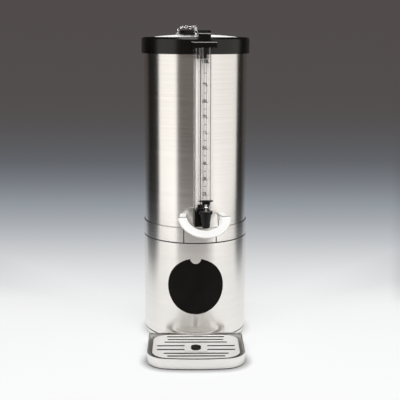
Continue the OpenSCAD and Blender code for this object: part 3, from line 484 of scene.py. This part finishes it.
# In front it darkens in a middle sector, and beyond a width at its two sides
FRONT_SLANT = 0.95
FRONT_START = 0.3
FRONT_FALL = 1.6
ASIDE_START = 0.7
ASIDE_FALL = 2.0
FRONT_TINT = (1.0, 0.87, 0.76)
# How far the border between front and back turns back on the right, for each metre
FRONT_TURN = 0.13
# Distance at which half the paleness is gone, and how steeply it goes
HALF_PALE = 0.85
PALE_POWER = 2.1
# Dark sides of the room, by the slope of their bearing behind the object
ROOM_SIDE_NEAR = 0.2
ROOM_SIDE_START = 0.9
ROOM_SIDE_RISE = 1.4
ROOM_SIDE_DEPTH = 0.85
# How sharp the borders between the sectors are
SECTOR_SHARP = 4.0
# Tones from the far end to the object's place
FLOOR_TONES = ((0.0, (0.076, 0.065, 0.06)), (0.09, (0.122, 0.128, 0.142)), (0.25, (0.298, 0.323, 0.359)),
               (0.95, (0.985, 0.99, 0.995)))
# Shadow where the object meets the floor, deepest in front of the stand
CONTACT_REACH = 0.02
CONTACT_DEPTH = 2.4
CONTACT_FRONT = 0.16
CONTACT_SHARP = 20.0
CONTACT_BACK_SHARE = 0.2
# Share of the near floor that the lamps light
LIT_SHARE = 0.25


def backdrop_material():
    """Painted pool of light: glows white round the object and darker with distance, seen as it is and lit
    where it is near.
    """
    mat, nodes, links, shader = new_material("pale_sweep")
    calc, place, _ = surface_of(mat)

    def clamped(value, low, high):
        return calc("MINIMUM", calc("MAXIMUM", value, low), high)

    def past(value, start):
        return calc("MAXIMUM", calc("SUBTRACT", value, start), 0.0)

    def rest_of(share):
        return calc("SUBTRACT", 1.0, share)

    across = calc("ABSOLUTE", place["X"])
    behind = calc("MAXIMUM", place["Y"], 0.0)
    before = calc("SUBTRACT", behind, place["Y"])

    pale_edge = calc("ADD", calc("MULTIPLY", behind, PALE_SPREAD), PALE_HALF_WIDTH)
    back_far = calc("ADD", behind, calc("MULTIPLY", past(across, pale_edge), BESIDE_FALL))

    slant = calc("DIVIDE", across, calc("MAXIMUM", before, MM))
    middle = clamped(calc("MULTIPLY", calc("SUBTRACT", FRONT_SLANT, slant), SECTOR_SHARP), 0.0, 1.0)
    ahead = calc("MULTIPLY", calc("MULTIPLY", past(before, FRONT_START), FRONT_FALL), middle)
    aside = calc("MULTIPLY", calc("MULTIPLY", past(across, ASIDE_START), ASIDE_FALL), rest_of(middle))
    front_far = calc("ADD", ahead, aside)

    turned = calc("MULTIPLY", calc("MAXIMUM", place["X"], 0.0), FRONT_TURN)
    in_front = calc("MULTIPLY", calc("SUBTRACT", turned, place["Y"]), SECTOR_SHARP)
    in_front = clamped(calc("ADD", in_front, 0.5), 0.0, 1.0)
    back_part = calc("MULTIPLY", back_far, rest_of(in_front))
    far = calc("ADD", back_part, calc("MULTIPLY", front_far, in_front))
    steep = calc("POWER", calc("DIVIDE", far, HALF_PALE), PALE_POWER)
    level = calc("DIVIDE", 1.0, calc("ADD", steep, 1.0))

    ramp = nodes.new("ShaderNodeValToRGB")
    while len(ramp.color_ramp.elements) < len(FLOOR_TONES):
        ramp.color_ramp.elements.new(0.5)
    for element, (position, tone) in zip(ramp.color_ramp.elements, FLOOR_TONES):
        element.position = position
        element.color = (*tone, 1)
    links.new(level, ramp.inputs["Fac"])

    bearing = calc("DIVIDE", across, calc("MAXIMUM", behind, ROOM_SIDE_NEAR))
    side = calc("MULTIPLY", calc("SUBTRACT", bearing, ROOM_SIDE_START), ROOM_SIDE_RISE)
    side = calc("MULTIPLY", clamped(side, 0.0, ROOM_SIDE_DEPTH), rest_of(level))
    side = calc("MULTIPLY", side, rest_of(in_front))
    shaded = nodes.new("ShaderNodeVectorMath")
    shaded.operation = "SCALE"
    links.new(ramp.outputs["Color"], shaded.inputs["Vector"])
    links.new(rest_of(side), shaded.inputs["Scale"])
    dim_front = calc("MULTIPLY", in_front, rest_of(level))
    colour = mixed(nodes, links, dim_front, shaded.outputs["Vector"], (*FRONT_TINT, 1), "MULTIPLY")
    links.new(colour, shader.inputs["Base Color"])
    shader.inputs["Roughness"].default_value = 0.7
    shader.inputs["Specular IOR Level"].default_value = 0.1

    # Painted contact shadow: the glow is dimmed where ambient occlusion finds the object near
    contact = nodes.new("ShaderNodeAmbientOcclusion")
    contact.samples = 8
    contact.inputs["Distance"].default_value = CONTACT_REACH
    forward = calc("MULTIPLY", calc("SUBTRACT", before, CONTACT_FRONT), CONTACT_SHARP)
    forward = clamped(forward, CONTACT_BACK_SHARE, 1.0)
    touch = calc("POWER", contact.outputs["AO"], calc("MULTIPLY", forward, CONTACT_DEPTH))
    glow = nodes.new("ShaderNodeEmission")
    links.new(colour, glow.inputs["Color"])
    links.new(touch, glow.inputs["Strength"])

    rays = nodes.new("ShaderNodeLightPath")
    mirrored = calc("MAXIMUM", rays.outputs["Is Glossy Ray"], rays.outputs["Is Transmission Ray"])
    seen = calc("MAXIMUM", rays.outputs["Is Camera Ray"], mirrored)
    share = rest_of(calc("MULTIPLY", level, LIT_SHARE))
    mix = nodes.new("ShaderNodeMixShader")
    links.new(calc("MULTIPLY", seen, share), mix.inputs["Fac"])
    links.new(shader.outputs["BSDF"], mix.inputs[1])
    links.new(glow.outputs["Emission"], mix.inputs[2])
    links.new(mix.outputs["Shader"], nodes["Material Output"].inputs["Surface"])
    return mat


SWEEP_HALF_WIDTH = 9.0
SWEEP_FRONT_Y = -6.0
SWEEP_BACK_Y = 5.0
SWEEP_R = 3.0
SWEEP_STEPS = 12
SWEEP_DROP = 0.0002


def add_sweep():
    """Floor that turns up into a backdrop behind the object."""
    rise = [(SWEEP_FRONT_Y, 0.0), (0.0, 0.0), (SWEEP_BACK_Y, 0.0)]
    for i in range(1, SWEEP_STEPS + 1):
        a = math.pi / 2 * i / SWEEP_STEPS
        rise.append((SWEEP_BACK_Y + SWEEP_R * math.sin(a), SWEEP_R - SWEEP_R * math.cos(a)))
    verts, faces = [], []
    for y, z in rise:
        verts += [(-SWEEP_HALF_WIDTH, y, z), (SWEEP_HALF_WIDTH, y, z)]
    for i in range(len(rise) - 1):
        faces.append((2 * i, 2 * i + 1, 2 * i + 3, 2 * i + 2))
    mesh = bpy.data.meshes.new("sweep")
    mesh.from_pydata(verts, [], faces)
    sweep = bpy.data.objects.new("sweep", mesh)
    bpy.context.scene.collection.objects.link(sweep)
    sweep.location.z = -SWEEP_DROP
    mesh.materials.append(backdrop_material())


add_sweep()


# Light

# Levels of the room beside and before the object, by the Y of a direction
ROOM_TINT = (1.08, 0.95, 0.83)
ROOM_BESIDE = 0.012
ROOM_BEFORE = 0.12
BESIDE_UP_TO_Y = -0.4
BEFORE_FROM_Y = -0.8
# Soft boxes beside the object, in metres
BOX_DISTANCE = 1.2
BOX_Z = 0.66
BOX_TALL = 1.3
WHITE = (1.0, 1.0, 1.0)


def add_world():
    """Dark room that is a little paler in front of the object than beside it."""
    world = bpy.data.worlds.new("studio")
    bpy.context.scene.world = world
    world.use_nodes = True
    nodes, links = world.node_tree.nodes, world.node_tree.links
    front = nodes.new("ShaderNodeMapRange")
    front.inputs["From Min"].default_value = BESIDE_UP_TO_Y
    front.inputs["From Max"].default_value = BEFORE_FROM_Y
    front.inputs["To Min"].default_value = ROOM_BESIDE
    front.inputs["To Max"].default_value = ROOM_BEFORE
    links.new(axes_of(nodes, links, "Generated")["Y"], front.inputs["Value"])
    warm = mixed(nodes, links, 1.0, front.outputs["Result"], (*ROOM_TINT, 1), "MULTIPLY")
    links.new(warm, nodes["Background"].inputs["Color"])


def area_lamp(name, place, target, width, height, power, colour):
    lamp = bpy.data.lights.new(name, "AREA")
    lamp.shape = "RECTANGLE"
    lamp.size, lamp.size_y = width, height
    lamp.energy = power
    lamp.color = colour
    obj = bpy.data.objects.new(name, lamp)
    bpy.context.scene.collection.objects.link(obj)
    obj.location = place
    obj.rotation_euler = (Vector(target) - Vector(place)).to_track_quat("-Z", "Y").to_euler()
    return obj


def side_box(name, near, far, power, colour):
    """Tall soft box beside the object, between two bearings in degrees from the front, left negative."""
    middle, half = math.radians((near + far) / 2), math.radians(abs(far - near) / 2)
    place = (BOX_DISTANCE * math.sin(middle), -BOX_DISTANCE * math.cos(middle), BOX_Z)
    area_lamp(name, place, (0, 0, BOX_Z), 2 * BOX_DISTANCE * math.tan(half), BOX_TALL, power, colour)


add_world()
side_box("left_box", -40.0, -85.5, 4.3, (1.0, 0.985, 0.96))
side_box("right_box", 28.0, 101.0, 6.4, (1.0, 0.99, 0.975))
area_lamp("key_box", (0, -1.2, 2.3), (0, -0.1, 0.3), 2.0, 1.4, 49, WHITE)
back_box = area_lamp("back_box", (0, 3.2, 1.6), (0, 0, 0.65), 5.6, 1.2, 36, WHITE)
back_lit = bpy.data.collections.new("back_lit")
for name in ("lid_top", "plug_chain", "chain_anchors", "chain_eye"):
    back_lit.objects.link(NODES[name])
back_box.light_linking.receiver_collection = back_lit


# Camera, fitted to the photograph, with its place in metres

FOCAL_PX, IMAGE_PX = 855.7, 400
SENSOR_MM = 36.0
PITCH, HEADING, ROLL = math.radians(11.068), math.radians(1.0), math.radians(0.177)
CAMERA_PLACE = (-0.0216, -1.8469, 0.6525)

camera_data = bpy.data.cameras.new("photo_camera")
camera_data.sensor_fit = "HORIZONTAL"
camera_data.sensor_width = SENSOR_MM
camera_data.lens = SENSOR_MM * FOCAL_PX / IMAGE_PX
camera = bpy.data.objects.new("photo_camera", camera_data)
bpy.context.scene.collection.objects.link(camera)
level_forward = Vector((math.sin(HEADING), math.cos(HEADING), 0)) * math.cos(PITCH)
forward = level_forward - Vector((0, 0, math.sin(PITCH)))
level_right = forward.cross(Vector((0, 0, 1))).normalized()
level_up = level_right.cross(forward)
right = level_right * math.cos(ROLL) + level_up * math.sin(ROLL)
up = level_up * math.cos(ROLL) - level_right * math.sin(ROLL)
turn = Matrix((right, up, -forward)).transposed().to_4x4()
camera.matrix_world = Matrix.Translation(CAMERA_PLACE) @ turn
bpy.context.scene.camera = camera
bpy.context.scene.view_settings.view_transform = "Standard"

bpy.context.view_layer.update()
